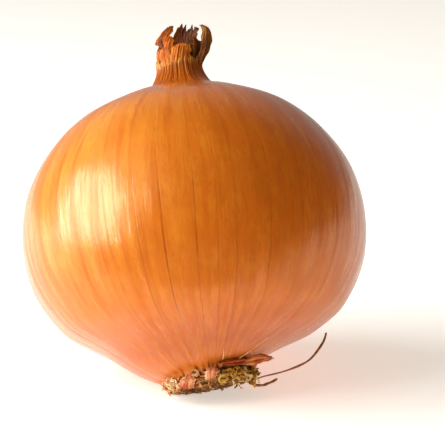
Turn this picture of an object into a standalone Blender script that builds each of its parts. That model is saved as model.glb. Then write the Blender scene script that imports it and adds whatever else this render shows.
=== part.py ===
"""A brown onion in its dry skin, lying as an onion with its roots on comes to rest.

Every piece is designed in the onion's own frame: the origin is on the axis at the widest girth, +Z points
up the axis to the neck and -Y is the front. An empty then leans the whole onion back and lifts it, so that
its lower flank rests on the floor at z = 0, with the world origin straight below the middle of the bulb.
"""

import math

import bmesh
import bpy
import numpy as np
from mathutils import Vector

MM = 0.001

# How it lies: the axis leans this far from upright, towards the back and a little to the left.
LEAN = math.radians(27.6)
LEAN_LEFT_OF_BACK = math.radians(12.7)
REST_DEPTH = 0.5 * MM  # how much of the flank is pressed flat
GAP = 0.3 * MM  # between pieces that touch

# The bulb's outline, (radius, height) down its side, from the seat of the neck to the seat of the roots.
BULB_OUTLINE = [
    (7.3, 34.1), (16.6, 31.7), (25.5, 27.1), (32.8, 19.9), (38.1, 10.6), (40.0, 0.0), (38.5, -10.8),
    (33.2, -20.1), (27.6, -24.5), (22.0, -27.6), (17.0, -30.4), (12.6, -32.75), (10.9, -33.6), (10.2, -34.0),
]  # fmt: skip
BULB_STEPS = 64
# The root end is askew: from SKEW_START inwards the base turns, until at SKEW_FULL it has turned by SKEW.
SKEW = math.radians(7.0)
SKEW_START, SKEW_FULL = 26 * MM, 12 * MM

# The neck: dry leaf sheaths drawn together, narrowest at its waist.
NECK_OUTLINE = [
    (3.2, 44.4), (4.4, 45.8), (5.3, 45.4), (5.2, 43.6), (5.1, 41.5), (5.6, 41.0), (5.6, 39.6), (6.2, 37.6),
    (7.0, 35.8), (7.9, 34.4),
]  # fmt: skip
NECK_STEPS = 56
NECK_PLEATS, PLEAT_DEPTH = 14, 0.045
NECK_SHIFT, TOP_SHIFT = 0.4 * MM, 0.5 * MM  # the neck stands to the right of the axis, its top further

# The disc that the roots grow from.
PLATE_OUTLINE = [(9.3, -34.3), (10.0, -34.8), (9.8, -35.6), (8.0, -36.6), (4.0, -37.2)]
PLATE_STEPS = 40
LUMPS, LUMP_DEPTH = 9, 0.04

# Roots, as points in the onion's frame in millimetres. These two are still long.
LONG_ROOT = [
    (10.2, 3.0, -35.6), (12.5, 7.1, -34.5), (16.4, 13.0, -33.1), (20.0, 16.9, -31.7), (23.5, 19.1, -30.1),
    (25.9, 19.8, -28.0), (27.9, 20.0, -25.5), (28.7, 19.6, -23.7),
]  # fmt: skip
LONG_ROOT_RADIUS = 0.45 * MM
SHORT_ROOT = [(10.3, 0.6, -37.2), (12.0, 2.6, -37.2), (14.2, 4.4, -36.4), (15.5, 5.3, -35.7)]
SHORT_ROOT_RADIUS = 0.5 * MM

# The rest are stubs round the edge of the disc, on the sides that the onion doesn't lie on.
STUB_AZIMUTHS = [-162, -104, -72, -60, -46, -32, -18, -4]
STUB_START = (10.6, -35.3)
STUB_RADIUS = 0.5 * MM
STUB_REACH = 1.6 * MM
STUB_DROP = 2.0 * MM
STUB_TURN = 0.5 * MM

LEAF_THICKNESS = 0.45 * MM

# Each material's colour (linear RGB) and roughness.
MATERIALS = {
    "skin": ((0.62, 0.24, 0.055), 0.35),
    "dry_leaf": ((0.40, 0.16, 0.045), 0.65),
    "root": ((0.36, 0.24, 0.11), 0.85),
    "flake": ((0.62, 0.30, 0.17), 0.6),
}


def clear_scene():
    for obj in list(bpy.data.objects):
        bpy.data.objects.remove(obj, do_unlink=True)


def collection(name):
    made = bpy.data.collections.new(name)
    bpy.context.scene.collection.children.link(made)
    return made


def material(name):
    colour, roughness = MATERIALS[name]
    made = bpy.data.materials.new(name)
    made.use_nodes = True
    shader = made.node_tree.nodes["Principled BSDF"]
    shader.inputs["Base Color"].default_value = (*colour, 1.0)
    shader.inputs["Roughness"].default_value = roughness
    shader.inputs["Metallic"].default_value = 0.0
    return made


def smooth_through(points, samples):
    """Points on a Catmull-Rom curve through the given ones, with this many to each stretch."""
    given = [Vector(p) for p in points]
    ends = [2 * given[0] - given[1], *given, 2 * given[-1] - given[-2]]
    made = []
    for a, b, c, d in zip(ends, ends[1:], ends[2:], ends[3:]):
        for i in range(samples):
            t = i / samples
            bend = (2 * a - 5 * b + 4 * c - d) * t**2 + (3 * b - a - 3 * c + d) * t**3
            made.append((2 * b + (c - a) * t + bend) / 2)
    return [*made, given[-1]]


def smoothstep(start, end, value):
    t = min(max((value - start) / (end - start), 0.0), 1.0)
    return t * t * (3 - 2 * t)


def askew(point):
    """A point of the root end, turned with it."""
    radius = math.hypot(point.x, point.y)
    share = smoothstep(SKEW_START, SKEW_FULL, radius) if point.z < 0 else 0.0
    return point + Vector((0, 0, point.x * math.tan(SKEW) * share))


def add(name, data, home, look, axis):
    """An object in the onion's frame, which leans and lies with it."""
    obj = bpy.data.objects.new(name, data)
    data.materials.append(look)
    home.objects.link(obj)
    obj.parent = axis
    return obj


def turned(name, outline, samples, steps, home, look, axis, reshape=None):
    """A solid turned about the axis from an outline of (radius, height), closed by flat ends."""
    curve = smooth_through([(r * MM, 0, z * MM) for r, z in outline], samples)
    run = [Vector((0, 0, curve[0].z)), *curve, Vector((0, 0, curve[-1].z))]
    profile = bpy.data.meshes.new(name + "_profile")
    profile.from_pydata(run, [(i, i + 1) for i in range(len(run) - 1)], [])
    lathe = bpy.data.objects.new(name + "_lathe", profile)
    home.objects.link(lathe)
    screw = lathe.modifiers.new("Turn", "SCREW")
    screw.steps = screw.render_steps = steps
    screw.use_merge_vertices = True
    screw.merge_threshold = 0.00001
    bpy.context.view_layer.update()
    graph = bpy.context.evaluated_depsgraph_get()
    mesh = bpy.data.meshes.new_from_object(lathe.evaluated_get(graph))
    mesh.name = name
    bpy.data.objects.remove(lathe)
    bpy.data.meshes.remove(profile)
    if reshape:
        for vertex in mesh.vertices:
            vertex.co = reshape(vertex.co.copy())
    mesh.shade_smooth()
    mesh.set_sharp_from_angle(angle=math.radians(50))
    return add(name, mesh, home, look, axis)


def shell(name, surface, rows, columns, home, look, axis):
    """A thin leaf: a grid laid on surface(u, v), with u and v from -1 to 1, then thickened."""
    grid = bmesh.new()
    bmesh.ops.create_grid(grid, x_segments=columns, y_segments=rows, size=1.0)
    for vertex in grid.verts:
        vertex.co = surface(vertex.co.x, vertex.co.y)
    bmesh.ops.recalc_face_normals(grid, faces=grid.faces)
    mesh = bpy.data.meshes.new(name)
    grid.to_mesh(mesh)
    grid.free()
    mesh.shade_smooth()
    obj = add(name, mesh, home, look, axis)
    thicken = obj.modifiers.new("Thickness", "SOLIDIFY")
    thicken.thickness = LEAF_THICKNESS
    thicken.offset = 0.0
    return obj


def strip(path, half_widths, bow, facing, dip=0.0, along=(0, 0, 1)):
    """The surface of a leaf: v runs along the path and u across it, bowed like a gutter away from where it
    faces, which is an azimuth and a dip in degrees. Its edges are square to that and to along."""
    line = smooth_through([Vector(p) * MM for p in path], 8)
    bearing, down = math.radians(facing), math.radians(dip)
    level = Vector((math.cos(bearing), math.sin(bearing), 0))
    outwards = level * math.cos(down) - Vector((0, 0, math.sin(down)))
    across = Vector(along).cross(outwards).normalized()

    def surface(u, v):
        at = (v + 1) / 2 * (len(line) - 1)
        i = min(int(at), len(line) - 2)
        centre = line[i].lerp(line[i + 1], at - i)
        half = float(np.interp((v + 1) / 2, np.linspace(0, 1, len(half_widths)), half_widths)) * MM
        return centre + across * half * u - outwards * bow * MM * u * u

    return surface


def root(name, points, radius, home, look, axis):
    """A dry root: a round fibre that thins towards its tip."""
    line = smooth_through([Vector(p) * MM for p in points], 4)
    curve = bpy.data.curves.new(name, "CURVE")
    curve.dimensions = "3D"
    curve.bevel_depth = radius
    curve.bevel_resolution = 2
    curve.use_fill_caps = True
    spline = curve.splines.new("POLY")
    spline.points.add(len(line) - 1)
    for i, (point, co) in enumerate(zip(spline.points, line)):
        point.co = (*co, 1.0)
        point.radius = 1.0 - 0.45 * i / (len(line) - 1)
    return add(name, curve, home, look, axis)


def stub_points(azimuth, turn):
    """A short root: out from under the skin, then bent down and to one side."""
    bearing = math.radians(azimuth)
    out = Vector((math.cos(bearing), math.sin(bearing), 0))
    side = Vector((-math.sin(bearing), math.cos(bearing), 0)) * turn
    down = Vector((0, 0, -1))
    radius, height = STUB_START
    start = askew(out * radius * MM + Vector((0, 0, height * MM)))
    line = [
        start,
        start + out * STUB_REACH * 0.5 + down * STUB_DROP * 0.1,
        start + out * STUB_REACH * 0.9 + down * STUB_DROP * 0.45 + side * 0.4,
        start + out * STUB_REACH + down * STUB_DROP + side,
    ]
    return [point / MM for point in line]


def pleated(point):
    """The neck's folds run up it, deepest at the waist, and it stands to one side of the axis."""
    bearing = math.atan2(point.y, point.x)
    depth = PLEAT_DEPTH * smoothstep(34.4 * MM, 37 * MM, point.z)
    point.x *= 1 + depth * math.cos(NECK_PLEATS * bearing)
    point.y *= 1 + depth * math.cos(NECK_PLEATS * bearing)
    point.x += NECK_SHIFT + TOP_SHIFT * smoothstep(42 * MM, 46 * MM, point.z)
    return point


def lumpy(point):
    bearing = math.atan2(point.y, point.x)
    swell = 1 - LUMP_DEPTH * (1 + math.cos(LUMPS * bearing))
    return askew(Vector((point.x * swell, point.y * swell, point.z)))


def lean_axis(home):
    """The empty that carries the onion: its Z is the onion's axis."""
    axis = bpy.data.objects.new("onion_axis", None)
    home.objects.link(axis)
    towards = Vector(
        (
            -math.sin(LEAN) * math.sin(LEAN_LEFT_OF_BACK),
            math.sin(LEAN) * math.cos(LEAN_LEFT_OF_BACK),
            math.cos(LEAN),
        )
    )
    axis.rotation_mode = "QUATERNION"
    axis.rotation_quaternion = Vector((0, 0, 1)).rotation_difference(towards)
    return axis


def lift_onto_floor(axis, bulb):
    """Raises the axis until the bulb's lowest point is REST_DEPTH below the floor, ready to be cut flat."""
    bpy.context.view_layer.update()
    lowest = min((bulb.matrix_world @ v.co).z for v in bulb.data.vertices)
    axis.location.z = -lowest - REST_DEPTH
    bpy.context.view_layer.update()


def cut_at(height, obj, cutters):
    """Cuts away what is below this height above the floor."""
    side = 0.2
    box = bmesh.new()
    bmesh.ops.create_cube(box, size=side)
    mesh = bpy.data.meshes.new(obj.name + "_floor")
    box.to_mesh(mesh)
    box.free()
    cutter = bpy.data.objects.new(obj.name + "_floor", mesh)
    cutter.location.z = height - side / 2
    cutter.hide_render = True
    cutter.display_type = "WIRE"
    cutters.objects.link(cutter)
    flat = obj.modifiers.new("Floor", "BOOLEAN")
    flat.operation = "DIFFERENCE"
    flat.solver = "EXACT"
    flat.object = cutter


def build_neck_leaves(*place):
    """The torn ends of the dry leaves: two stand on the neck, and one has split away from its side."""
    left = [(-3.4, -2.9, 46.3), (-2.8, -2.8, 47.5), (-1.8, -2.4, 48.9), (-1.0, -2.0, 50.0)]
    back = [(1.8, 3.9, 46.5), (2.3, 4.2, 48.6), (2.8, 4.3, 50.6), (3.1, 4.0, 52.2)]
    right = [(6.8, -3.0, 41.5), (7.5, -3.1, 43.4), (8.1, -3.0, 45.3), (8.3, -2.7, 47.3), (7.9, -2.3, 49.0)]
    shell("neck_leaf_left", strip(left, [1.4, 1.8, 1.6, 0.9], 0.4, -120), 8, 6, *place)
    shell("neck_leaf_back", strip(back, [3.1, 3.0, 2.4, 1.0], 0.8, 75), 10, 8, *place)
    shell("neck_leaf_right", strip(right, [1.1, 1.7, 1.8, 1.5, 0.8], 0.5, -35), 12, 6, *place)


def build_flakes(*place):
    """Scraps of torn skin round the root end."""
    left = [(-6.3, -9.6, -35.4), (-6.2, -9.7, -36.6), (-5.6, -9.4, -38.2)]
    middle = [(0.5, -11.3, -34.6), (0.4, -11.7, -35.6), (0.1, -11.3, -36.7)]
    lip = [(8.7, -7.9, -34.0), (10.3, -7.3, -33.5), (12.3, -6.4, -33.1), (14.5, -5.2, -32.6)]
    shell("skin_flake_left", strip(left, [2.4, 2.4, 1.3], 0.5, -125), 6, 6, *place)
    shell("skin_flake_middle", strip(middle, [1.5, 1.8, 1.2], 0.4, -90), 6, 6, *place)
    shell("skin_lip_right", strip(lip, [1.0, 1.2, 1.1, 0.6], 0.3, -60, 35, (0.88, 0.41, 0.21)), 8, 6, *place)


def build_roots(*place):
    root("root_long", LONG_ROOT, LONG_ROOT_RADIUS, *place)
    root("root_short", SHORT_ROOT, SHORT_ROOT_RADIUS, *place)
    for number, azimuth in enumerate(STUB_AZIMUTHS, 1):
        turn = STUB_TURN if number % 2 else -STUB_TURN
        root(f"root_{number:02d}", stub_points(azimuth, turn), STUB_RADIUS, *place)


def main():
    clear_scene()
    home, cutters = collection("onion"), collection("cutters")
    looks = {name: material(name) for name in MATERIALS}
    axis = lean_axis(home)
    bulb = turned("bulb", BULB_OUTLINE, 2, BULB_STEPS, home, looks["skin"], axis, askew)
    turned("neck", NECK_OUTLINE, 2, NECK_STEPS, home, looks["dry_leaf"], axis, pleated)
    plate = turned("root_plate", PLATE_OUTLINE, 2, PLATE_STEPS, home, looks["root"], axis, lumpy)
    build_neck_leaves(home, looks["dry_leaf"], axis)
    build_flakes(home, looks["flake"], axis)
    build_roots(home, looks["root"], axis)
    lift_onto_floor(axis, bulb)
    cut_at(0, bulb, cutters)
    cut_at(GAP, plate, cutters)


main()
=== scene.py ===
"""The look of a brown onion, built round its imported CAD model.

As in the CAD, each piece is designed in the onion's own frame, in millimetres: the origin is on the axis at
the widest girth, +Z points up the axis to the neck and -Y is the front. place() then leans it and sets it on
the floor. A bearing is an angle round the axis in degrees, 0 at +X and -90 at the front.
"""

import math
import random

import bpy
import numpy as np
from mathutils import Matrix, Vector


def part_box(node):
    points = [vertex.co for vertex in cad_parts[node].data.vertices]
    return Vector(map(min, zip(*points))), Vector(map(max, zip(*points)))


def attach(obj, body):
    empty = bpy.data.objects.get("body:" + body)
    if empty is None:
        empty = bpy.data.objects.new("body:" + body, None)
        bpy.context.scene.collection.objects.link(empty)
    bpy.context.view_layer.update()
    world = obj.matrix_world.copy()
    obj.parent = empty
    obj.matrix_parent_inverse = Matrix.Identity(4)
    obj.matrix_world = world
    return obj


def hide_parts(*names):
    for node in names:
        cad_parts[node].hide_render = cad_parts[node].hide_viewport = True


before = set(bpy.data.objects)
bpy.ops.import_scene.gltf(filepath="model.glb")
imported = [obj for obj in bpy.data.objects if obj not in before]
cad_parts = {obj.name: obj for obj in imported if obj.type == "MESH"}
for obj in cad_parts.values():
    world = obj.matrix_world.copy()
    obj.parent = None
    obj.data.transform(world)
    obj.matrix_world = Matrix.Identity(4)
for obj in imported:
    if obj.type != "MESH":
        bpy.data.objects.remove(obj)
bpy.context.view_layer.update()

MM = 0.001

# Driving dimensions repeated from part.py, in millimetres where they are lengths: how the onion leans, how
# its root end is turned askew, how far its neck stands off the axis, and the bulb's outline between the seats
# of the neck and of the roots.
LEAN = math.radians(27.6)
LEAN_LEFT_OF_BACK = math.radians(12.7)
SKEW = math.radians(7.0)
SKEW_START, SKEW_FULL = 26.0, 12.0
NECK_SHIFT, TOP_SHIFT = 0.4, 0.5
GIRTH_OUTLINE = [
    (16.6, 31.7), (25.5, 27.1), (32.8, 19.9), (38.1, 10.6), (40.0, 0.0), (38.5, -10.8),
    (33.2, -20.1), (27.6, -24.5), (22.0, -27.6), (17.0, -30.4), (12.6, -32.75),
]  # fmt: skip
# The two long roots follow the same lines as in part.py, but start a little further in.
LONG_ROOT = [
    (9.4, 1.6, -35.6), (10.4, 3.2, -35.6), (12.5, 7.1, -34.5), (16.4, 13.0, -33.1), (20.0, 16.9, -31.7),
    (23.5, 19.1, -30.1), (25.9, 19.8, -28.0), (27.9, 20.0, -25.5), (28.7, 19.6, -23.7),
]  # fmt: skip
SHORT_ROOT = [
    (9.0, -0.6, -36.6), (10.3, 0.6, -37.2), (12.0, 2.6, -37.2), (14.2, 4.4, -36.4), (15.5, 5.3, -35.7),
]  # fmt: skip

# The skin's own ends, (radius, height): its torn top, its pleated neck, and its edge at the roots.
SKIN_TOP = [(2.6, 39.6), (4.6, 40.2), (5.1, 41.3), (5.45, 41.5), (5.5, 40.9), (5.45, 39.9), (5.7, 38.6)]
SKIN_NECK = [(6.3, 37.2), (7.2, 35.8), (8.8, 34.6), (11.6, 33.4)]
SKIN_RIM = [(11.4, -33.5), (11.0, -34.2), (10.5, -34.5), (9.9, -34.2), (9.0, -33.2), (5.0, -32.6)]
# The gap between the skin's rows at its ends, and how much wider it is at the girth. Then in degrees, the gap
# between its columns away from a vein, and how far the three columns beside a vein stand from it.
ROW_GAP, ROW_GAP_RISE = 0.32, 0.75
COLUMN_GAP = 1.05
BESIDE_VEIN = (0.36, 0.8, 1.5)

# The skin's main veins at the front, as (bearing, strength), and the least and most gap between the rest.
FRONT_VEINS = [
    (-163.0, 0.6), (-152.5, 0.4), (-142.0, 0.6), (-130.0, 0.5), (-117.5, 0.7), (-108.5, 0.8), (-100.0, 1.0),
    (-88.5, 0.8), (-81.5, 0.6), (-75.0, 0.5), (-63.0, 0.55), (-52.0, 0.6), (-44.5, 0.5),
]  # fmt: skip
VEIN_GAP = (7.0, 12.0)
# Short creases in the skin's edge round the roots, painted dark as shade: (bearing, the radius they reach out
# to, depth).
FRONT_CREASES = [
    (-138.0, 13.0, 0.7), (-129.0, 12.2, 0.3), (-120.0, 13.6, 0.8), (-111.0, 12.2, 0.3), (-102.5, 13.2, 0.85),
    (-93.5, 12.4, 0.6), (-88.0, 13.3, 1.0), (-83.5, 12.8, 0.9), (-78.5, 13.4, 0.8), (-74.5, 12.6, 0.6),
    (-66.0, 13.0, 0.5), (-58.0, 12.4, 0.4), (-50.5, 13.0, 0.7),
]  # fmt: skip
CREASE_GAP = (5.0, 9.0)
CREASE_RADIUS = 12.0  # where a crease reaches about one degree to each side
LIT_FLANK_BEARING, LIT_FLANK_WIDTH = 128.0, 38.0  # the painted glow on the left flank, toward the key light, in degrees clockwise from +X
FOLD_SHADOW_BEARING, FOLD_SHADOW_WIDTH = 66.0, 20.0  # the painted shadow on the skin above the roots, under the torn fold, in the same way

# The inner sheath of the neck, (radius, height) from inside its foot, over its torn edge and down outside.
SHEATH = [
    (2.0, 40.5), (3.6, 41.0), (4.1, 42.5), (4.5, 44.4), (4.85, 45.5), (5.15, 45.8), (5.25, 45.2),
    (5.15, 43.8), (4.95, 42.0), (4.85, 40.0), (4.6, 38.0), (3.6, 36.5),
]  # fmt: skip

# Withered leaf ends on the neck. Each has its middle line from foot to tip, its half width along that line,
# how far its sides bow back, the bearing that it faces, and the CAD's nodes that it stands for.
LEAF_ENDS = {
    "leaf_tongue": {
        "path": [
            (0.6, -4.9, 39.4), (0.8, -5.4, 41.0), (1.2, -5.6, 42.6), (1.5, -5.4, 43.9), (1.7, -4.7, 44.6),
            (1.7, -3.8, 44.6),
        ],
        "half_widths": [2.6, 2.7, 2.6, 2.3, 1.9, 1.2],
        "bow": 0.7, "facing": -82, "nodes": ["neck"],
        "shade": 0.1, "teeth": 0.45, "crumple": 0.12, "seed": 34,
    },
    "leaf_fold_left": {
        "path": [
            (-2.4, -4.4, 39.6), (-2.5, -4.75, 42.0), (-2.3, -4.65, 44.2), (-1.6, -4.2, 46.0),
            (-0.9, -3.6, 47.0),
        ],
        "half_widths": [1.7, 1.8, 1.6, 1.3, 0.7],
        "bow": 0.5, "facing": -122, "nodes": ["neck"],
        "shade": -0.1, "teeth": 0.4, "crumple": 0.18, "seed": 35,
    },
    "leaf_fold_right": {
        "path": [
            (3.7, -2.9, 39.0), (4.5, -3.3, 41.3), (5.1, -3.4, 43.6), (5.2, -3.0, 45.4), (4.9, -2.5, 46.6),
        ],
        "half_widths": [1.4, 1.7, 1.7, 1.5, 0.9],
        "bow": 0.5, "facing": -42, "nodes": ["neck"],
        "shade": -0.25, "teeth": 0.4, "crumple": 0.2, "seed": 36,
    },
    "leaf_left": {
        "path": [
            (-2.4, -4.5, 42.4), (-2.7, -4.3, 44.2), (-3.0, -3.8, 45.6), (-2.8, -3.2, 47.0),
            (-2.0, -2.7, 48.6), (-1.0, -2.2, 50.0),
        ],
        "half_widths": [0.7, 0.9, 2.1, 2.0, 1.6, 0.8],
        "bow": 0.4, "facing": -118, "nodes": ["neck_leaf_left"],
        "shade": -0.3, "teeth": 0.35, "crumple": 0.2, "seed": 31,
    },
    "leaf_back": {
        "path": [(1.4, 4.3, 43.6), (1.8, 4.4, 45.6), (2.3, 4.5, 47.6), (2.9, 4.4, 49.6), (3.4, 4.0, 51.3)],
        "half_widths": [3.0, 3.2, 3.2, 3.0, 2.6],
        "bow": 0.9, "facing": 75, "nodes": ["neck_leaf_back"],
        "shade": -0.15, "teeth": 1.3, "crumple": 0.35, "seed": 32,
    },
    "leaf_right": {
        "path": [
            (5.6, -2.4, 40.0), (6.5, -2.9, 41.6), (7.4, -3.1, 43.4), (8.0, -3.0, 45.4), (8.2, -2.7, 47.3),
            (7.9, -2.4, 48.8), (6.9, -2.1, 49.6),
        ],
        "half_widths": [0.8, 1.3, 1.7, 1.8, 1.5, 1.1, 0.4],
        "bow": 0.6, "facing": -40, "nodes": ["neck_leaf_right"],
        "shade": 0.05, "teeth": 0.4, "crumple": 0.25, "seed": 33,
    },
}  # fmt: skip
# The leaves on the right and at the back take a darker copy of the leaf colours: partly their own duller
# colour, partly painted shade away from the key light.
DULL_AND_SHADED_LEAVES = ("leaf_fold_right", "leaf_back", "leaf_right")

# Scraps of torn skin round the root end, in the same way. The two at the right face down by dip degrees, and
# their width is set across the skin's edge instead of across the axis.
SKIN_EDGE = (0.88, 0.41, 0.21)
SCRAPS = {
    "flake_left": {
        "path": [(-4.3, -9.9, -34.6), (-4.9, -10.2, -35.6), (-5.4, -10.1, -36.7), (-5.7, -9.6, -37.9)],
        "half_widths": [0.7, 1.6, 2.2, 2.0],
        "bow": 0.5, "facing": -115, "nodes": ["skin_flake_left"],
        "shade": 0.1, "teeth": 0.4, "crumple": 0.25, "ribs": 0.05, "seed": 61,
    },
    "flake_middle": {
        "path": [
            (0.7, -10.2, -33.6), (0.8, -11.2, -34.1), (0.8, -11.8, -35.0), (0.6, -11.7, -36.0),
            (0.4, -11.0, -36.6),
        ],
        "half_widths": [1.1, 1.4, 1.6, 1.4, 0.8],
        "bow": 0.5, "facing": -86, "nodes": ["skin_flake_middle"],
        "shade": 0.2, "teeth": 0.3, "crumple": 0.35, "ribs": 0.05, "seed": 62,
    },
    "lip_right": {
        "path": [
            (7.6, -8.8, -33.2), (9.2, -8.2, -33.1), (11.0, -7.6, -32.9), (12.9, -6.7, -32.6),
            (14.8, -5.5, -32.6),
        ],
        "half_widths": [0.8, 1.2, 1.3, 1.1, 0.5],
        "bow": 0.3, "facing": -60, "nodes": ["skin_lip_right"], "dip": 30, "along": SKIN_EDGE,
        "shade": 0.15, "teeth": 0.8, "crumple": 0.4, "ribs": 0.03, "thickness": 0.14, "seed": 63,
    },
    "torn_fold": {
        "path": [
            (2.9, -11.5, -33.2), (4.6, -11.2, -33.4), (6.4, -10.3, -33.3), (8.2, -9.1, -32.9),
            (9.8, -7.8, -32.6),
        ],
        "half_widths": [0.3, 0.7, 1.0, 0.8, 0.3],
        "bow": 0.2, "facing": -55, "nodes": ["skin_lip_right"], "dip": 25, "along": SKIN_EDGE,
        "shade": -0.1, "teeth": 0.6, "crumple": 0.6, "ribs": 0.04, "thickness": 0.16, "seed": 64,
    },
}  # fmt: skip
RED_SCRAPS = ("lip_right", "torn_fold")
# Two pale threads of torn skin that stand up across the bulb.
SHREDS = [
    [(7.1, -9.8, -32.5), (10.0, -10.15, -31.0), (12.2, -11.25, -29.75), (14.4, -12.35, -28.65)],
    [(3.6, -12.3, -32.6), (3.85, -13.9, -31.75), (4.0, -15.45, -30.9)],
]

# The corky disc under the skin's edge, (radius, height) from inside the bulb, round its rim and in below.
DISC = [(2.0, -33.0), (9.4, -33.6), (10.1, -34.6), (9.9, -35.4), (8.6, -36.2), (5.0, -36.9), (1.2, -37.1)]

# The tufts of dry roots: how many there are, then the least and most of the bearing, radius and height at
# which they start, and of their length, thickness, lightness and olive tint. Spread is how far their headings
# differ, when it isn't the usual.
TUFTS = {
    "right": {
        "count": 58, "bearings": (-76, -4), "radii": (8.4, 10.2), "heights": (-36.2, -35.0),
        "lengths": (1.2, 2.6), "thickness": (0.24, 0.42), "shades": (-0.2, 0.9), "tints": (0, 0.25),
    },
    "left": {
        "count": 60, "bearings": (-162, -80), "radii": (8.3, 10.1), "heights": (-35.6, -34.5),
        "lengths": (1.1, 2.4), "thickness": (0.24, 0.44), "shades": (-0.3, 0.9), "tints": (0, 0.4),
    },
    # The tufts under and behind the disc are set darker, as painted shade.
    "under": {
        "count": 90, "bearings": (-180, 180), "radii": (1.5, 9.2), "heights": (-36.6, -35.6),
        "lengths": (0.9, 2.0), "thickness": (0.24, 0.42), "shades": (-0.5, 0.2), "tints": (0.2, 1.0),
    },
    "back": {
        "count": 34, "bearings": (-2, 182), "radii": (8.2, 9.8), "heights": (-35.4, -34.8),
        "lengths": (1.0, 2.2), "thickness": (0.24, 0.40), "shades": (-0.4, 0.3), "tints": (0.1, 0.6),
    },
    "pale": {
        "count": 12, "bearings": (-160, -126), "radii": (9.4, 10.6), "heights": (-35.4, -34.8),
        "lengths": (0.8, 1.6), "thickness": (0.22, 0.36), "shades": (0.6, 1.1), "tints": (0, 0.1),
        "spread": 0.4,
    },
}  # fmt: skip
ROOT_TURNS, ROOT_COIL = (0.6, 1.5), (0.6, 1.15)  # how many turns a root coils through, and how widely
ROOT_CLEARANCE = 0.3  # a root that would come lower than this over the floor is left out

# The light: the soft key, the cool window as the gloss shows it, and two gradings of the room from front to
# back, each (start, end, strength before, strength after) along Y: the backdrop in the gloss, and the fill.
LIGHT_DISTANCE = 0.6
KEY_FROM, KEY_SIZE, KEY_WATTS = (-0.86, -0.17, 0.50), (0.74, 0.62), 7.7
KEY_COLOUR = (0.97, 1.0, 0.97)
WINDOW_FROM, WINDOW_SIZE, WINDOW_WATTS = (-0.930, -0.22, 0.31), (0.50, 0.42), 7.0
WINDOW_COLOUR = (0.70, 0.86, 1.0)
BACKDROP = (0.35, 0.9, 0.03, 0.36)
FILL = (-0.2, 0.6, 0.25, 0.15)
FILL_TINT = (1.0, 0.93, 0.80)
FLOOR_EDGE = -0.080  # in front of this the gloss shows the dim room instead of the floor
FLOOR_REACH, FLOOR_DROP = 3.0, 0.0001
FLOOR_GLOW = 0.54

# The camera: how steeply it looks down, how far off it stands, its sensor and lens in millimetres, and how
# far to the right of and above the bulb's middle it aims.
CAMERA_DOWN, CAMERA_DISTANCE = math.radians(14), 0.5
SENSOR, LENS = 36, 173
AIM_RIGHT, AIM_ABOVE = 0.00653, 0.00222

dice = random.Random(11)  # for the veins and creases that aren't at the front


# ---------------------------------------------------------------- shaping


def smooth_through(points, samples):
    """Points on a Catmull-Rom curve through the given ones."""
    p = np.array(points, float)
    p = np.vstack([2 * p[0] - p[1], p, 2 * p[-1] - p[-2]])
    t = (np.arange(samples) / samples)[:, None]
    runs = []
    for a, b, c, d in zip(p, p[1:], p[2:], p[3:]):
        bend = (2 * a - 5 * b + 4 * c - d) * t**2 + (3 * b - a - 3 * c + d) * t**3
        runs.append((2 * b + (c - a) * t + bend) / 2)
    return np.vstack([*runs, p[-2:-1]])


def smoothstep(start, end, value):
    t = np.clip((np.asarray(value, float) - start) / (end - start), 0, 1)
    return t * t * (3 - 2 * t)


def askew(p):
    """Points of the root end, turned with it."""
    radius = np.hypot(p[..., 0], p[..., 1])
    share = smoothstep(SKEW_START, SKEW_FULL, radius) * (p[..., 2] < 0)
    out = p.copy()
    out[..., 2] += p[..., 0] * math.tan(SKEW) * share
    return out


def waves(seed, counts, steepness):
    """A smooth random function of bearing (radians) and height: waves that close round the axis."""
    rng = np.random.default_rng(seed)
    terms = [(k, rng.uniform(0, 2 * np.pi), rng.normal(0, steepness), rng.uniform(0.6, 1)) for k in counts]

    def value(bearing, height):
        total = sum(a * np.sin(k * bearing + phase + tilt * height) for k, phase, tilt, a in terms)
        return total / math.sqrt(len(terms))

    return value


def ridged(seed, counts, steepness):
    """Like waves, but with rounded folds between sharp valleys, from -1 to about 0.5."""
    wave = waves(seed, counts, steepness)
    return lambda bearing, height: 0.5 - 1.5 * np.exp(-((wave(bearing, height) / 0.45) ** 2))


towards = Vector(
    (
        -math.sin(LEAN) * math.sin(LEAN_LEFT_OF_BACK),
        math.sin(LEAN) * math.cos(LEAN_LEFT_OF_BACK),
        math.cos(LEAN),
    )
)
TURN = np.array(Vector((0, 0, 1)).rotation_difference(towards).to_matrix())


def lift():
    """The height of the bulb's middle above the floor, from the top of its CAD solid."""
    outline = smooth_through(GIRTH_OUTLINE, 20)
    bearing = np.radians(np.arange(0, 360, 1))[:, None]
    ring = np.stack(
        [outline[:, 0] * np.cos(bearing), outline[:, 0] * np.sin(bearing), outline[:, 1] + 0 * bearing], -1
    )
    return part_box("bulb")[1].z / MM - (ring @ TURN.T)[..., 2].max()


LIFT = lift()


def place(p, floor=0.05):
    """Points of the onion's frame, leaned and set over the floor, none lower than this, and in metres."""
    q = np.asarray(p, float) @ TURN.T
    q[..., 2] = np.maximum(q[..., 2] + LIFT, floor)
    return q * MM


# ---------------------------------------------------------------- meshes


def make(name, vertices, faces, attributes, material, nodes):
    """A piece of the onion from its vertices (in metres), faces and attributes."""
    mesh = bpy.data.meshes.new(name)
    mesh.from_pydata([tuple(v) for v in vertices], [], [tuple(f) for f in faces])
    for key, values in attributes.items():
        values = np.asarray(values, np.float32)
        if values.ndim == 1:
            mesh.attributes.new(key, "FLOAT", "POINT").data.foreach_set("value", values)
        else:
            mesh.attributes.new(key, "FLOAT_VECTOR", "POINT").data.foreach_set("vector", values.ravel())
    mesh.shade_smooth()
    mesh.materials.append(material)
    obj = bpy.data.objects.new(name, mesh)
    bpy.context.scene.collection.objects.link(obj)
    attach(obj, "root")
    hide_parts(*nodes)
    return obj


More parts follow.
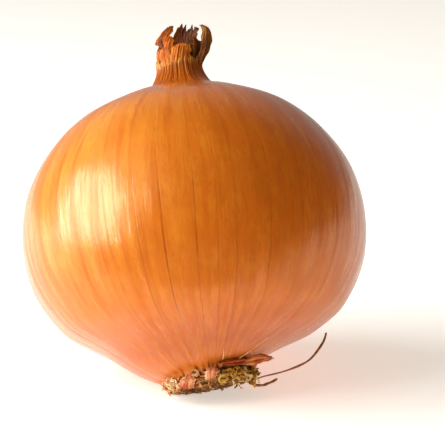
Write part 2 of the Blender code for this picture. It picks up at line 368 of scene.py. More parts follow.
def quads(rows, columns, closed):
    """The faces of a grid of points, rows running down and columns anticlockwise, so that they face out."""
    last = columns if closed else columns - 1
    i, j = np.meshgrid(np.arange(rows - 1), np.arange(last), indexing="ij")
    k = (j + 1) % columns
    corners = [i * columns + j, (i + 1) * columns + j, (i + 1) * columns + k, i * columns + k]
    return np.stack(corners, -1).reshape(-1, 4)


def capped(rows, columns):
    """The faces of a turned grid, with a fan at each end to one of two more vertices after the grid's."""
    top, bottom = rows * columns, rows * columns + 1
    j = np.arange(columns)
    k = (j + 1) % columns
    first = (rows - 1) * columns
    fans = [(top, a, b) for a, b in zip(j, k)] + [(bottom, first + b, first + a) for a, b in zip(j, k)]
    return [*quads(rows, columns, True).tolist(), *fans]


def turned_piece(name, points, grain, attributes, material, nodes):
    """A closed piece from points[row, column] round the axis, with the ends closed by fans."""
    rows, columns = points.shape[:2]
    flat = points.reshape(-1, 3)
    ends = np.array([points[0].mean(0), points[-1].mean(0)])
    vertices = place(np.vstack([flat, ends]))

    def with_ends(values):
        values = np.asarray(values, float)
        v = values.reshape(rows * columns, -1)
        tail = np.array([v[:columns].mean(0), v[-columns:].mean(0)])
        return np.vstack([v, tail]).squeeze()

    packed = {key: with_ends(value) for key, value in attributes.items()}
    packed["grain"] = with_ends(grain)
    return make(name, vertices, capped(rows, columns), packed, material, nodes)


# ---------------------------------------------------------------- materials


class Nodes:
    """A material's node tree, with a short way to add and join nodes."""

    def __init__(self, name):
        self.material = bpy.data.materials.new(name)
        self.material.use_nodes = True
        self.tree = self.material.node_tree
        self.shader = self.tree.nodes["Principled BSDF"]

    def join(self, socket, value):
        if isinstance(value, bpy.types.NodeSocket):
            self.tree.links.new(value, socket)
        elif value is not None:
            socket.default_value = value

    def add(self, kind, inputs=(), **settings):
        node = self.tree.nodes.new(kind)
        for key, value in settings.items():
            setattr(node, key, value)
        for key, value in dict(inputs).items():
            self.join(node.inputs[key], value)
        return node

    def attribute(self, name, vector=False):
        node = self.add("ShaderNodeAttribute", attribute_name=name)
        return node.outputs["Vector" if vector else "Fac"]

    def math(self, operation, a, b=None, clamp=False):
        node = self.add("ShaderNodeMath", {0: a}, operation=operation, use_clamp=clamp)
        if b is not None:
            self.join(node.inputs[1], b)
        return node.outputs[0]

    def stretch(self, vector, scale):
        node = self.add("ShaderNodeVectorMath", {0: vector, 1: scale}, operation="MULTIPLY")
        return node.outputs[0]

    def noise(self, vector, scale, detail=2.0, roughness=0.5):
        node = self.add(
            "ShaderNodeTexNoise", {"Vector": vector, "Scale": scale, "Detail": detail, "Roughness": roughness}
        )
        return node.outputs["Fac"]

    def span(self, value, low, high, to_low=0.0, to_high=1.0):
        """The value's range from low to high, spread over to_low to to_high and clamped."""
        node = self.add("ShaderNodeMapRange", {0: value, 1: low, 2: high, 3: to_low, 4: to_high})
        return node.outputs[0]

    def mix(self, share, a, b, blend="MIX"):
        node = self.add("ShaderNodeMix", data_type="RGBA", blend_type=blend)
        self.join(node.inputs[0], share)
        self.join(node.inputs[6], a)
        self.join(node.inputs[7], b)
        return node.outputs[2]

    def ramp(self, value, stops):
        node = self.add("ShaderNodeValToRGB", {0: value})
        band = node.color_ramp
        while len(band.elements) < len(stops):
            band.elements.new(0.5)
        for element, (at, colour) in zip(band.elements, stops):
            element.position = at
            element.color = colour
        return node.outputs[0]

    def bump(self, height, strength, distance, under=None):
        node = self.add("ShaderNodeBump", {"Height": height, "Strength": strength, "Distance": distance})
        self.join(node.inputs["Normal"], under)
        return node.outputs[0]

    def finish(self, **sockets):
        for key, value in sockets.items():
            self.join(self.shader.inputs[key.replace("_", " ")], value)
        return self.material


def rgb(red, green, blue):
    """A colour given in sRGB, 0 to 255, as the linear RGBA that a socket takes."""
    shares = (red / 255, green / 255, blue / 255)
    return (*[c / 12.92 if c <= 0.04045 else ((c + 0.055) / 1.055) ** 2.4 for c in shares], 1.0)


def skin_material():
    n = Nodes("onion_skin")
    grain = n.attribute("grain", vector=True)
    climb = n.attribute("climb")  # 0 at the root end, 1 at the neck
    vein = n.attribute("vein")
    crease_and_shade = n.attribute("crease_and_shade")
    frayed = n.attribute("frayed")
    lit_flank = n.attribute("lit_flank")  # painted glow: the left flank, toward the key light, lighter and more golden

    broad = n.noise(n.stretch(grain, (1.6, 1.6, 0.9)), 1.0, 3.0, 0.55)
    streak = n.noise(n.stretch(grain, (19, 19, 1.5)), 1.0, 4.0, 0.65)
    fibre = n.noise(n.stretch(grain, (90, 90, 1.6)), 1.0, 2.0, 0.6)
    mottle = n.noise(n.stretch(grain, (14, 14, 7)), 1.0, 4.0, 0.7)
    speck = n.noise(n.stretch(grain, (44, 44, 17)), 1.0, 4.0, 0.75)
    smudge = n.noise(n.stretch(grain, (7, 7, 2.2)), 1.0, 5.0, 0.75)

    base = n.ramp(
        climb,
        [
            (0.0, rgb(214, 118, 34)),
            (0.035, rgb(204, 104, 24)),
            (0.065, rgb(184, 80, 14)),
            (0.11, rgb(198, 92, 16)),
            (0.17, rgb(216, 110, 20)),
            (0.30, rgb(206, 99, 12)),
            (0.42, rgb(206, 99, 12)),
            (0.62, rgb(214, 106, 16)),
            (0.82, rgb(212, 108, 18)),
            (0.93, rgb(188, 90, 16)),
            (1.0, rgb(160, 76, 14)),
        ],
    )
    warm = n.mix(n.span(broad, 0.36, 0.66, 0.0, 0.45), base, rgb(206, 94, 12))
    golden = n.mix(n.span(mottle, 0.48, 0.72, 0.0, 0.48), warm, rgb(226, 138, 26))
    streaked = n.mix(n.span(streak, 0.44, 0.70, 0.0, 0.46), golden, rgb(184, 80, 8))
    # Painted glow: the left flank, toward the key light, turns lighter and golden, broken by the streaks.
    glow_share = n.math("MULTIPLY", lit_flank, n.span(streak, 0.62, 0.40, 0.15, 0.55))
    glowing = n.mix(glow_share, streaked, rgb(238, 164, 62))
    fibred = n.mix(n.span(fibre, 0.52, 0.78, 0.0, 0.14), glowing, rgb(236, 150, 40))
    smudged = n.mix(n.span(smudge, 0.50, 0.70, 0.0, 0.42), fibred, rgb(176, 74, 8))
    specked = n.mix(n.span(speck, 0.56, 0.74, 0.0, 0.34), smudged, rgb(150, 66, 12))
    torn = n.mix(n.math("MULTIPLY", frayed, 0.6), specked, rgb(232, 160, 78))
    veined = n.mix(n.math("MULTIPLY", vein, 0.85), torn, rgb(112, 42, 8))
    # Painted shade: darker in the creases round the roots, in the valleys of the neck's pleats, under the
    # torn fold and inside the rolled-in skin.
    colour = n.mix(n.math("MULTIPLY", crease_and_shade, 0.9, clamp=True), veined, rgb(92, 40, 12))

    fine = n.bump(fibre, 0.10, 0.0002)
    lined = n.bump(streak, 0.20, 0.0004, fine)
    dimpled = n.bump(mottle, 0.12, 0.0006, lined)
    rough = n.span(streak, 0.3, 0.75, 0.24, 0.36)
    varnish = n.math("MULTIPLY", n.span(streak, 0.38, 0.66, 0.62, 0.22), n.span(climb, 0.90, 0.95, 1.0, 0.05))
    wavy = n.bump(broad, 0.9, 0.0020, n.bump(streak, 0.34, 0.0007, n.bump(mottle, 0.24, 0.0006)))
    return n.finish(
        Base_Color=colour,
        Roughness=rough,
        IOR=1.45,
        Specular_IOR_Level=0.8,
        Specular_Tint=(1.0, 0.50, 0.16, 1),
        Normal=dimpled,
        Coat_Weight=varnish,
        Coat_Roughness=0.17,
        Coat_Normal=wavy,
        Subsurface_Weight=0.06,
        Subsurface_Radius=(1.0, 0.35, 0.12),
        Subsurface_Scale=0.002,
    )


def leaf_material(name, dark, middle, light, glow=0.0):
    """Withered leaf or torn skin, with fibres along it. The attribute shade makes it lighter or darker."""
    n = Nodes(name)
    grain = n.attribute("grain", vector=True)
    shade = n.attribute("shade")
    fibre = n.noise(n.stretch(grain, (2.6, 2.6, 0.10)), 1.0, 4.0, 0.65)
    fine = n.noise(n.stretch(grain, (9.0, 9.0, 0.35)), 1.0, 3.0, 0.6)
    blotch = n.noise(grain, 0.45, 2.0, 0.5)
    value = n.math("ADD", n.math("MULTIPLY", fibre, 0.6), n.math("MULTIPLY", blotch, 0.4))
    lit = n.math("ADD", n.span(value, 0.34, 0.66), shade)
    colour = n.ramp(lit, [(0.0, dark), (0.5, middle), (1.0, light)])
    threads = n.mix(n.span(fine, 0.58, 0.74, 0.0, 0.55), colour, light)
    gaps = n.mix(n.span(fine, 0.44, 0.32, 0.0, 0.6), threads, dark)
    ribs = n.bump(fibre, 0.7, 0.0005)
    hairs = n.bump(fine, 0.5, 0.0002, ribs)
    return n.finish(
        Base_Color=gaps,
        Roughness=n.span(fine, 0.3, 0.7, 0.5, 0.75),
        Specular_IOR_Level=0.2,
        Normal=hairs,
        Subsurface_Weight=glow,
        Subsurface_Radius=(1.0, 0.4, 0.15),
        Subsurface_Scale=0.001,
    )


def root_material(name, dark, middle, light):
    """Dry roots and the corky disc they grow from: the tint differs from root to root."""
    n = Nodes(name)
    grain = n.attribute("grain", vector=True)
    shade = n.attribute("shade")
    tint = n.attribute("tint")
    ring = n.noise(n.stretch(grain, (2.2, 2.2, 1.7)), 1.0, 4.0, 0.7)
    lump = n.noise(grain, 0.9, 3.0, 0.6)
    lit = n.math("ADD", n.span(ring, 0.32, 0.68), shade)
    palest = rgb(232, 204, 162)
    colour = n.ramp(n.math("MULTIPLY", lit, 0.6), [(0.0, dark), (0.3, middle), (0.6, light), (0.9, palest)])
    olive = n.mix(n.math("MULTIPLY", tint, 0.7), colour, rgb(112, 96, 56))
    dusty = n.mix(n.span(lump, 0.6, 0.8, 0.0, 0.35), olive, rgb(206, 176, 128))
    return n.finish(
        Base_Color=dusty,
        Specular_IOR_Level=0.25,
        Roughness=n.span(lump, 0.3, 0.7, 0.6, 0.85),
        Normal=n.bump(ring, 0.8, 0.0004),
    )


# ---------------------------------------------------------------- the bulb's skin


def skin_columns():
    """(bearings of the skin's columns in radians, share of vein at each). The columns crowd at each vein."""
    veins = list(FRONT_VEINS)
    # It stops while the gap back to the first vein is still over the least one, so that columns never cross.
    while veins[-1][0] + sum(VEIN_GAP) < FRONT_VEINS[0][0] + 360:
        veins.append((veins[-1][0] + dice.uniform(*VEIN_GAP), dice.uniform(0.35, 0.9)))
    bearings, on_vein = [], []
    for (here, strength), (there, _) in zip(veins, [*veins[1:], (veins[0][0] + 360, 0)]):
        width = there - here
        count = max(4, round(width / COLUMN_GAP))
        between = np.linspace(BESIDE_VEIN[-1], width - BESIDE_VEIN[-1], count)[1:-1]
        spots = [0.0, *BESIDE_VEIN, *between, *[width - b for b in reversed(BESIDE_VEIN)]]
        bearings += [here + spot for spot in spots]
        on_vein += [strength] + [0.0] * (len(spots) - 1)
    return np.radians(bearings), np.array(on_vein)


def creasing(lon, radius):
    """How deep in a crease of the skin's edge each point is, from 0 to 1."""
    creases = list(FRONT_CREASES)
    while creases[-1][0] + CREASE_GAP[1] < FRONT_CREASES[0][0] + 360:
        bearing = creases[-1][0] + dice.uniform(*CREASE_GAP)
        creases.append((bearing, dice.uniform(12.3, 14.0), dice.uniform(0.2, 0.9)))
    depth = np.zeros(np.broadcast(lon, radius).shape)
    for bearing, reach, strength in creases:
        off = (lon - math.radians(bearing) + np.pi) % (2 * np.pi) - np.pi
        line = strength * np.exp(-((np.degrees(off) * radius / CREASE_RADIUS) ** 2))
        depth = np.maximum(depth, line * smoothstep(reach, reach - 1.8, radius))
    return depth


def skin_rows():
    """The skin's outline from inside its torn top, down the outside, to inside its edge at the roots."""
    line = smooth_through([*SKIN_TOP, *SKIN_NECK, *GIRTH_OUTLINE, *SKIN_RIM], 24)
    step = np.hypot(*np.diff(line, axis=0).T)
    middle = (line[1:] + line[:-1]) / 2
    spacing = ROW_GAP + ROW_GAP_RISE * smoothstep(12, 26, middle[:, 0])
    count = np.concatenate([[0], np.cumsum(step / spacing)])
    at = np.linspace(0, count[-1], int(count[-1]) + 1)
    return np.stack([np.interp(at, count, line[:, 0]), np.interp(at, count, line[:, 1])], -1)


def build_skin(material):
    """The outer skin: one closed piece, veined, creased and pleated, torn at the top and rolled in below."""
    outline = skin_rows()
    bearing, vein = skin_columns()
    radius, height = outline[:, 0][:, None], outline[:, 1][:, None]
    length = np.concatenate([[0], np.cumsum(np.hypot(*np.diff(outline, axis=0).T))])[:, None]
    row = np.arange(len(outline))[:, None]
    crest = int(np.argmax(outline[:18, 1]))
    rim = len(outline) - 1 - int(np.argmin(outline[::-1, 1][:30]))
    inside = (row < crest) | (row > rim)

    # The columns follow the veins, which wander a little, and less near the neck and the roots.
    wander = waves(3, (3, 5, 8, 13), 0.05)
    lon = bearing[None, :] + np.radians(0.9) * wander(bearing[None, :], height) * smoothstep(8, 30, radius)

    neckness = smoothstep(20, 7, radius) * smoothstep(26, 35, height)
    rootness = smoothstep(15.5, 11.5, radius) * (height < 0)
    fold = ridged(5, (9, 14, 21, 27), 0.05)(lon, height)
    fine = ridged(6, (37, 49, 61, 77), 0.08)(lon, height)
    gather = waves(7, (13, 21, 31), 0.02)(lon, height)
    crease_and_shade = creasing(lon, radius) * (height < 0)

    # How far each point stands out: grooves along veins, broad and fine unevenness, and pleats at both ends.
    out = -0.03 * vein[None, :] * smoothstep(8, 24, radius)
    out = out + 0.22 * waves(8, (2, 3, 5), 0.03)(lon, height) * smoothstep(6, 30, radius)
    out = out + 0.018 * waves(9, (17, 25, 34), 0.02)(lon, height)
    out = out + neckness * (0.12 * fold + 0.08 * fine)
    out = out + rootness * 0.14 * gather - 0.40 * crease_and_shade
    r = radius + out * ~inside

    # Its torn top and its edge at the roots are ragged.
    ragged_top = 0.5 * waves(12, (2, 3, 7), 0)(lon, 0) + 0.4 * waves(13, (13, 21, 34, 47), 0)(lon, 0)
    z = height + ragged_top * smoothstep(38.5, 40.8, height)
    ragged_rim = 0.3 * waves(14, (3, 7, 13), 0)(lon, 0) + 0.3 * waves(15, (19, 31, 44), 0)(lon, 0)
    z = z + ragged_rim * smoothstep(-33.0, -34.0, height)

    shift = NECK_SHIFT * smoothstep(32, 36, height) + TOP_SHIFT * smoothstep(42, 46, height)
    points = askew(np.stack([r * np.cos(lon) + shift, r * np.sin(lon), z], -1))

    # What the material reads: how dark each vein is, the painted shade, where it is frayed, the painted glow
    # on the left flank, and the grain.
    fade = 0.2 + 0.8 * smoothstep(14, -10, height)
    patchy = 0.65 + 0.35 * np.sin(7 * lon + 0.21 * height) * np.cos(4 * lon - 0.33 * height)
    veins = vein[None, :] * fade * patchy * smoothstep(10, 17, radius) * (height < 33)
    # Painted shade: dark in the creases, in the valleys of the neck's pleats, under the torn fold and over
    # the rolled-in inside.
    dark = np.maximum(crease_and_shade, neckness * 0.45 * np.clip(-fold, 0, 1) + neckness * 0.30 * np.clip(-fine, 0, 1))
    # A painted shadow on the skin above the roots, under the torn fold.
    off = np.degrees(lon) + FOLD_SHADOW_BEARING
    fold_shadow = np.exp(-((off / FOLD_SHADOW_WIDTH) ** 2)) * smoothstep(14.2, 11.6, radius) * (height < 0)
    dark = np.maximum(np.maximum(dark, 0.7 * fold_shadow), inside * 0.9)
    frayed = smoothstep(39.4, 40.9, height) * ~inside
    climb = np.clip((height + 34) / 74, 0, 1) + 0 * lon
    # Painted glow on the left flank, toward the key light, fading out towards the roots and the neck.
    off = (np.degrees(lon) + LIT_FLANK_BEARING + 180) % 360 - 180
    lit_flank = np.exp(-((off / LIT_FLANK_WIDTH) ** 2)) * smoothstep(-32, 2, height) * smoothstep(34, 22, height)
    grain = np.stack([np.cos(lon), np.sin(lon), length / 40 + 0 * lon], -1)
    attributes = {"climb": climb, "vein": veins, "crease_and_shade": dark, "frayed": frayed + 0 * lon, "lit_flank": lit_flank}
    turned_piece("bulb_skin", points, grain, attributes, material, ["bulb"])


# ---------------------------------------------------------------- the neck and its leaves


def build_neck(material):
    """The inner sheath, from inside the skin's torn edge up to its own, which is lowest at the front."""
    outline = smooth_through(SHEATH, 9)
    columns = 300
    lon = np.radians(np.linspace(-270, 90, columns, endpoint=False))[None, :]
    radius, height = outline[:, 0][:, None], outline[:, 1][:, None]
    inside = (np.arange(len(outline)) < int(np.argmax(outline[:, 1])))[:, None]
    fold = ridged(21, (6, 9, 14, 19), 0.10)(lon, height)
    fine = ridged(22, (27, 36, 45, 57), 0.05)(lon, height)
    r = radius * (1 + 0.03 * np.cos(2 * lon)) + (0.24 * fold + 0.14 * fine) * np.where(inside, 0.5, 1)
    back, left = 0.5 + 0.5 * np.sin(lon), np.clip(-np.cos(lon), 0, 1)
    rise = -1.3 + 4.4 * back**1.5 - 0.9 * left + 0.35 * waves(23, (3, 5, 9), 0)(lon, 0)
    rise = rise + 0.3 * waves(24, (17, 26, 38), 0)(lon, 0)
    z = height + rise * smoothstep(42.5, 45.4, height)
    shift = NECK_SHIFT + TOP_SHIFT * smoothstep(42, 46, height)
    points = np.stack([r * np.cos(lon) + shift, r * np.sin(lon), z], -1)
    # Painted shade: the sheath is darker in the valleys of its pleats, on its right side away from the key
    # light, and all over its inside.
    right = np.clip(np.cos(lon), 0, 1)
    shade = 0.15 - 0.35 * np.clip(-fold, 0, 1) - 0.25 * np.clip(-fine, 0, 1) - 0.45 * right
    shade = np.where(inside, -0.7, shade)
    grain = np.stack([5 * np.cos(lon) + 0 * height, 5 * np.sin(lon) + 0 * height, z], -1)
    turned_piece("neck_sheath", points, grain, {"shade": shade}, material, ["neck"])


def leaf(
    name, path, half_widths, bow, facing, material, slot, nodes,
    dip=0.0, along=(0, 0, 1), shade=0.0, teeth=0.5, crumple=0.25, ribs=0.10, thickness=0.24, seed=1,
):  # fmt: skip
    """A closed thin leaf along a path: bowed across, ribbed, crumpled, and ragged at its sides and tip."""
    rng = np.random.default_rng(seed)
    line = smooth_through(path, 12)
    rows, columns = len(line), 45
    v = np.linspace(0, 1, rows)[:, None]
    u = np.linspace(-1, 1, columns)[None, :]
    bearing, down = math.radians(facing), math.radians(dip)
    level = np.array([math.cos(bearing), math.sin(bearing), 0])
    outwards = level * math.cos(down) - np.array([0, 0, math.sin(down)])
    across = np.cross(along, outwards)
    across = across / np.linalg.norm(across)
    half = np.interp(v, np.linspace(0, 1, len(half_widths)), half_widths)
    phases = rng.uniform(0, 2 * np.pi, 16)
    side = sum(np.sin(v * k + p) for k, p in zip((9, 17, 29), phases)) / 3
    other = sum(np.sin(v * k + p) for k, p in zip((8, 19, 31), phases[3:])) / 3
    width = half * (1 + 0.22 * np.where(u > 0, side, other) * abs(u))
    tip = sum(np.sin(u * k + p) for k, p in zip((3, 7, 12, 19), phases[6:])) / 3
    tear = teeth * tip * smoothstep(0.55, 1.0, v)
    ripple = sum(np.sin(u * a + v * b + p) for a, b, p in ((3.1, 2.3, 1), (6.4, 1.2, 4), (2.2, 7.5, 2))) / 3
    rib = 0.5 * np.sin(u * 15 + v * 2 + phases[10]) + 0.5 * np.sin(u * 26 - v * 3 + phases[11])
    sideways = width * u
    depth = -bow * u * u + crumple * ripple + ribs * rib
    points = line[:, None, :] + across * sideways[..., None] + outwards * depth[..., None]
    heading = np.gradient(line, axis=0)
    heading /= np.linalg.norm(heading, axis=1)[:, None]
    points = points + heading[:, None, :] * tear[..., None]
    normal = np.cross(heading, across)
    normal /= np.linalg.norm(normal, axis=1)[:, None]
    thin = thickness * np.interp(v, [0, 0.7, 1], [0.55, 0.45, 0.16]) * (1 - 0.6 * u**4)
    front = points - normal[:, None, :] * thin[..., None]
    rear = points + normal[:, None, :] * thin[..., None]
    vertices = np.vstack([front.reshape(-1, 3), rear.reshape(-1, 3)])

    # The front, the back, and a rim between them that runs once round the edge.
    n = rows * columns
    sheet = quads(rows, columns, False)
    faces = [*sheet[:, ::-1].tolist(), *(sheet + n).tolist()]
    edge = [
        *[i * columns for i in range(rows)],
        *[(rows - 1) * columns + j for j in range(1, columns)],
        *[i * columns + columns - 1 for i in range(rows - 2, -1, -1)],
        *[j for j in range(columns - 2, 0, -1)],
    ]
    faces += [(a, a + n, b + n, b) for a, b in zip(edge, [*edge[1:], edge[0]])]
    reach = np.linspace(0, 1, rows)[:, None] * np.linalg.norm(np.diff(line, axis=0), axis=1).sum()
    grain = np.stack([sideways, 0 * sideways + seed, reach + 0 * sideways], -1).reshape(-1, 3)
    tone = (shade - 0.15 * smoothstep(0.8, 1.0, v) + 0.16 * rib).reshape(-1)
    # The inner face of each leaf or scrap, turned toward the onion, is painted 0.2 darker as shade.
    attributes = {"grain": np.vstack([grain, grain + 3]), "shade": np.concatenate([tone, tone - 0.2])}
    return make(name, place(vertices), faces, attributes, material, nodes)


def build_leaves(bright, dull_and_shaded):
    """The withered leaf ends on the neck."""
    for name, shape in LEAF_ENDS.items():
        leaf(name, material=dull_and_shaded if name in DULL_AND_SHADED_LEAVES else bright, slot="dry_leaf", **shape)


# ---------------------------------------------------------------- the roots


def tube(path, radii, sides, lumps, rng):
    """(vertices, faces) of a closed fibre along a path, half as thick as it is wide and a little lumpy."""
    along = np.gradient(path, axis=0)
    along /= np.linalg.norm(along, axis=1)[:, None]
    side = np.cross(along, [0.31, 0.72, 0.62])
    side /= np.linalg.norm(side, axis=1)[:, None]
    other = np.cross(along, side)
    angle = np.linspace(0, 2 * np.pi, sides, endpoint=False)
    swell = 1 + lumps * rng.normal(0, 1, (len(path), sides))
    across, through = np.cos(angle)[None, :, None], 0.5 * np.sin(angle)[None, :, None]
    ring = across * side[:, None, :] + through * other[:, None, :]
    points = path[:, None, :] + ring * (radii[:, None] * swell)[..., None]
    ends = np.array([path[0] - along[0] * radii[0] * 0.4, path[-1] + along[-1] * radii[-1] * 0.8])
    faces = [f[::-1] for f in capped(len(path), sides)]
    return np.vstack([points.reshape(-1, 3), ends]), faces


def fibre_bundle(name, fibres, material, nodes, sides=8, lumps=0.10, seed=5):
    """One piece from several fibres, each (path, half width at its start and its end, shade, tint)."""
    rng = np.random.default_rng(seed)
    vertices, faces, grain, shades, tints = [], [], [], [], []
    start = 0
    for path, wide, narrow, shade, tint in fibres:
        reach = np.concatenate([[0], np.cumsum(np.linalg.norm(np.diff(path, axis=0), axis=1))])
        share = reach / reach[-1]
        radii = (wide + (narrow - wide) * share**1.4) * (1 + 0.12 * np.sin(share * 23 + start))
        v, f = tube(path, radii, sides, lumps, rng)
        vertices.append(v)
        faces += [[i + start for i in face] for face in f]
        along = np.concatenate([np.repeat(reach, sides), [0, reach[-1]]])
        grain.append(np.stack([v[:, 0], v[:, 1], along + start * 0.01], -1))
        shades.append(np.full(len(v), shade))
        tints.append(np.full(len(v), tint))
        start += len(v)
    attributes = {
        "grain": np.vstack(grain),
        "shade": np.concatenate(shades),
        "tint": np.concatenate(tints),
    }
    return make(name, place(np.vstack(vertices), 0.02), faces, attributes, material, nodes)


def curly_path(start, heading, length, turns, width, rng, steps=30):
    """A path that sets off along heading and coils loosely about it."""
    heading = heading / np.linalg.norm(heading)
    side = np.cross(heading, rng.normal(0, 1, 3))
    side /= np.linalg.norm(side)
    other = np.cross(heading, side)
    t = np.linspace(0, 1, steps)
    phase, sway = rng.uniform(0, 2 * np.pi), rng.uniform(0.5, 1.0)
    angle = phase + 2 * np.pi * turns * t ** rng.uniform(0.8, 1.3)
    ring = np.cos(angle)[:, None] * side + sway * np.sin(angle)[:, None] * other
    ring -= math.cos(phase) * side + sway * math.sin(phase) * other
    bend = rng.normal(0, 0.25, 3) * (t**2)[:, None] * length
    kinks = 0.14 * np.sin(t[:, None] * rng.uniform(14, 30, 3) + rng.uniform(0, 2 * np.pi, 3))
    coil = ring * (width * smoothstep(0, 0.35, t))[:, None]
    return start + heading * (t * length)[:, None] + coil + bend + kinks


def tuft(count, bearings, radii, heights, lengths, thickness, shades, tints, rng, spread=0.5):
    """Curly roots that start in a band of the root end, leaving out those that would reach the floor."""
    fibres = []
    for _ in range(count):
        bearing = math.radians(rng.uniform(*bearings))
        radius = rng.uniform(*radii)
        out = np.array([math.cos(bearing), math.sin(bearing), 0.0])
        start = askew(out * radius + np.array([0, 0, rng.uniform(*heights)]))
        heading = out * rng.uniform(0.5, 1.1) + np.array([0, 0, -rng.uniform(0.3, 1.1)])
        heading = heading + rng.normal(0, spread, 3)
        length, turns, width = rng.uniform(*lengths), rng.uniform(*ROOT_TURNS), rng.uniform(*ROOT_COIL)
        path = curly_path(start, heading, length, turns, width, rng)
        thick = rng.uniform(*thickness)
        shade, tint = rng.uniform(*shades), rng.uniform(*tints)
        if (path @ TURN.T)[:, 2].min() + LIFT > ROOT_CLEARANCE + thick:
            fibres.append((path, thick, thick * 0.6, shade, tint))
    return fibres


def build_roots(yellow, brown):
    """The tufts of curly dry roots and the two that are still long."""
    rng = np.random.default_rng(17)
    stubs = [f"root_{i:02d}" for i in range(1, 9)]
    tufts = {name: tuft(rng=rng, **spec) for name, spec in TUFTS.items()}
    fibre_bundle("roots_right", tufts["right"], yellow, stubs[2:], seed=41)
    fibre_bundle("roots_left", tufts["left"] + tufts["pale"], brown, stubs[:2], seed=42)
    fibre_bundle("roots_under", tufts["under"], brown, ["root_plate"], seed=43)
    fibre_bundle("roots_back", tufts["back"], brown, ["root_plate"], seed=44)
    long_root = (smooth_through(LONG_ROOT, 8), 0.36, 0.26, 0.0, 0.45)
    short_root = (smooth_through(SHORT_ROOT, 8), 0.48, 0.34, -0.1, 0.3)
    fibre_bundle("root_long_fibre", [long_root], brown, ["root_long"], 12, lumps=0.04, seed=45)
    fibre_bundle("root_short_fibre", [short_root], brown, ["root_short"], 12, lumps=0.06, seed=46)


def build_plate(material):
    """The corky disc under the skin's edge, lumpy with the stumps of roots."""
    outline = smooth_through(DISC, 9)
    columns = 150
    lon = np.radians(np.linspace(0, 360, columns, endpoint=False))[None, :]
    radius, height = outline[:, 0][:, None], outline[:, 1][:, None]
    lump = waves(51, (5, 9, 14, 22, 31), 1.1)(lon, height + 0.5 * radius)
    knot = waves(52, (17, 27, 39), 2.3)(lon, height - radius)
    r = radius + 0.30 * lump * smoothstep(1, 6, radius) + 0.16 * knot * smoothstep(1, 8, radius)
    z = height + 0.25 * waves(53, (3, 7, 11), 0.9)(lon, radius)
    points = askew(np.stack([r * np.cos(lon), r * np.sin(lon), z], -1))
    # Painted shade: the disc is darker in the hollows between its lumps and lighter on them.
    attributes = {"shade": -0.45 + 0.25 * lump, "tint": np.clip(0.2 + 0.2 * knot, 0, 1)}
    turned_piece("root_disc", points, points, attributes, material, ["root_plate"])


def build_flakes(flake, red):
    """Scraps and threads of torn skin round the root end."""
    for name, shape in SCRAPS.items():
        leaf(name, material=red if name in RED_SCRAPS else flake, slot="flake", **shape)
    shreds = [(smooth_through(path, 10), 0.13, 0.05, 0.9, 0.0) for path in SHREDS]
    fibre_bundle("skin_shreds", shreds, flake, ["skin_lip_right"], sides=6, lumps=0.10, seed=65)


# ---------------------------------------------------------------- the studio


def build_floor():
    """A pale sheet, in two parts so that the gloss can show the dim room in front of it."""
    n = Nodes("pale_floor")
    where = n.add("ShaderNodeNewGeometry").outputs["Position"]
    paper = n.noise(where, 60.0, 3.0, 0.6)
    colour = n.mix(n.span(paper, 0.3, 0.7), rgb(247, 246, 245), rgb(251, 250, 250))
    n.finish(
        Base_Color=colour,
        Roughness=0.9,
        Specular_IOR_Level=0.1,
        Emission_Color=rgb(255, 247, 236),
        Emission_Strength=FLOOR_GLOW,
    )
    for name, near, far in (("floor", FLOOR_EDGE, FLOOR_REACH), ("floor_front", -FLOOR_REACH, FLOOR_EDGE)):
        mesh = bpy.data.meshes.new(name)
        plan = [(-FLOOR_REACH, near), (FLOOR_REACH, near), (FLOOR_REACH, far), (-FLOOR_REACH, far)]
        mesh.from_pydata([(x, y, -FLOOR_DROP) for x, y in plan], [], [(0, 1, 2, 3)])
        mesh.materials.append(n.material)
        floor = bpy.data.objects.new(name, mesh)
        bpy.context.scene.collection.objects.link(floor)
        floor.visible_glossy = name == "floor"


def area_light(name, direction, size, watts, colour):
    """A rectangular softbox in this direction from the bulb's middle, facing it."""
    data = bpy.data.lights.new(name, "AREA")
    data.shape = "RECTANGLE"
    data.size, data.size_y = size
    data.energy = watts
    data.color = colour
    light = bpy.data.objects.new(name, data)
    middle = Vector((0, 0, LIFT * MM))
    away = Vector(direction).normalized()
    light.location = middle + away * LIGHT_DISTANCE
    light.rotation_euler = away.to_track_quat("Z", "Y").to_euler()
    bpy.context.scene.collection.objects.link(light)
    return light


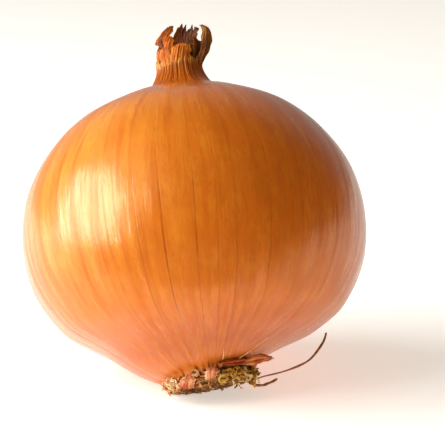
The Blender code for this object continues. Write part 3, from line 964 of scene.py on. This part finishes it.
def build_world():
    """White to the camera; to gloss, a room dim in front and lighter behind; and a weak warm fill light."""
    world = bpy.data.worlds.new("studio")
    bpy.context.scene.world = world
    world.use_nodes = True
    tree = world.node_tree
    sky = tree.nodes["Background"]
    where = tree.nodes.new("ShaderNodeTexCoord")
    split = tree.nodes.new("ShaderNodeSeparateXYZ")
    tree.links.new(where.outputs["Generated"], split.inputs[0])

    def graded(values):
        shade = tree.nodes.new("ShaderNodeMapRange")
        shade.interpolation_type = "SMOOTHSTEP"
        tree.links.new(split.outputs["Y"], shade.inputs[0])
        for socket, value in zip(shade.inputs[1:5], values):
            socket.default_value = value
        return shade.outputs[0]

    def choose(share, a, b):
        pick = tree.nodes.new("ShaderNodeMix")
        tree.links.new(share, pick.inputs[0])
        tree.links.new(a, pick.inputs[2])
        if isinstance(b, float):
            pick.inputs[3].default_value = b
        else:
            tree.links.new(b, pick.inputs[3])
        return pick.outputs[0]

    ray = tree.nodes.new("ShaderNodeLightPath")
    lit = choose(ray.outputs["Is Diffuse Ray"], graded(BACKDROP), graded(FILL))
    tree.links.new(choose(ray.outputs["Is Camera Ray"], lit, 1.0), sky.inputs["Strength"])
    tint = tree.nodes.new("ShaderNodeMixRGB")
    tint.inputs[1].default_value = (1, 1, 1, 1)
    tint.inputs[2].default_value = (*FILL_TINT, 1)
    tree.links.new(ray.outputs["Is Diffuse Ray"], tint.inputs[0])
    tree.links.new(tint.outputs[0], sky.inputs["Color"])


def build_studio():
    build_floor()
    build_world()
    key = area_light("key", KEY_FROM, KEY_SIZE, KEY_WATTS, KEY_COLOUR)
    key.visible_glossy = False
    window = area_light("window", WINDOW_FROM, WINDOW_SIZE, WINDOW_WATTS, WINDOW_COLOUR)
    window.visible_diffuse = False


def build_camera():
    """At the photo's angle: in front and a little above, half a metre away with a long lens."""
    data = bpy.data.cameras.new("camera")
    data.sensor_width = SENSOR
    data.lens = LENS
    data.clip_start = 0.01
    camera = bpy.data.objects.new("camera", data)
    forward = Vector((0, math.cos(CAMERA_DOWN), -math.sin(CAMERA_DOWN)))
    above = Vector((0, math.sin(CAMERA_DOWN), math.cos(CAMERA_DOWN)))
    aim = Vector((AIM_RIGHT, 0, LIFT * MM)) + above * AIM_ABOVE
    camera.location = aim - forward * CAMERA_DISTANCE
    camera.rotation_euler = forward.to_track_quat("-Z", "Y").to_euler()
    bpy.context.scene.collection.objects.link(camera)
    bpy.context.scene.camera = camera


def main():
    bpy.context.scene.view_settings.view_transform = "Standard"
    build_camera()
    build_studio()
    skin = skin_material()
    bright = leaf_material("dry_leaf_bright", rgb(104, 42, 0), rgb(206, 98, 4), rgb(244, 160, 44), 0.1)
    # A darker copy for the leaves on the right and at the back, partly painted shade.
    dull_and_shaded = leaf_material("dry_leaf_dull", rgb(74, 32, 0), rgb(140, 78, 18), rgb(196, 136, 62), 0.1)
    flake = leaf_material("torn_skin", rgb(176, 76, 36), rgb(232, 140, 92), rgb(250, 196, 152), 0.15)
    red = leaf_material("torn_red_skin", rgb(92, 30, 6), rgb(182, 74, 24), rgb(244, 158, 92), 0.15)
    yellow = root_material("yellow_root", rgb(88, 44, 4), rgb(184, 118, 22), rgb(230, 182, 66))
    brown = root_material("brown_root", rgb(84, 38, 8), rgb(184, 106, 42), rgb(236, 168, 96))
    build_skin(skin)
    build_neck(bright)
    build_leaves(bright, dull_and_shaded)
    build_plate(brown)
    build_roots(yellow, brown)
    build_flakes(flake, red)


main()
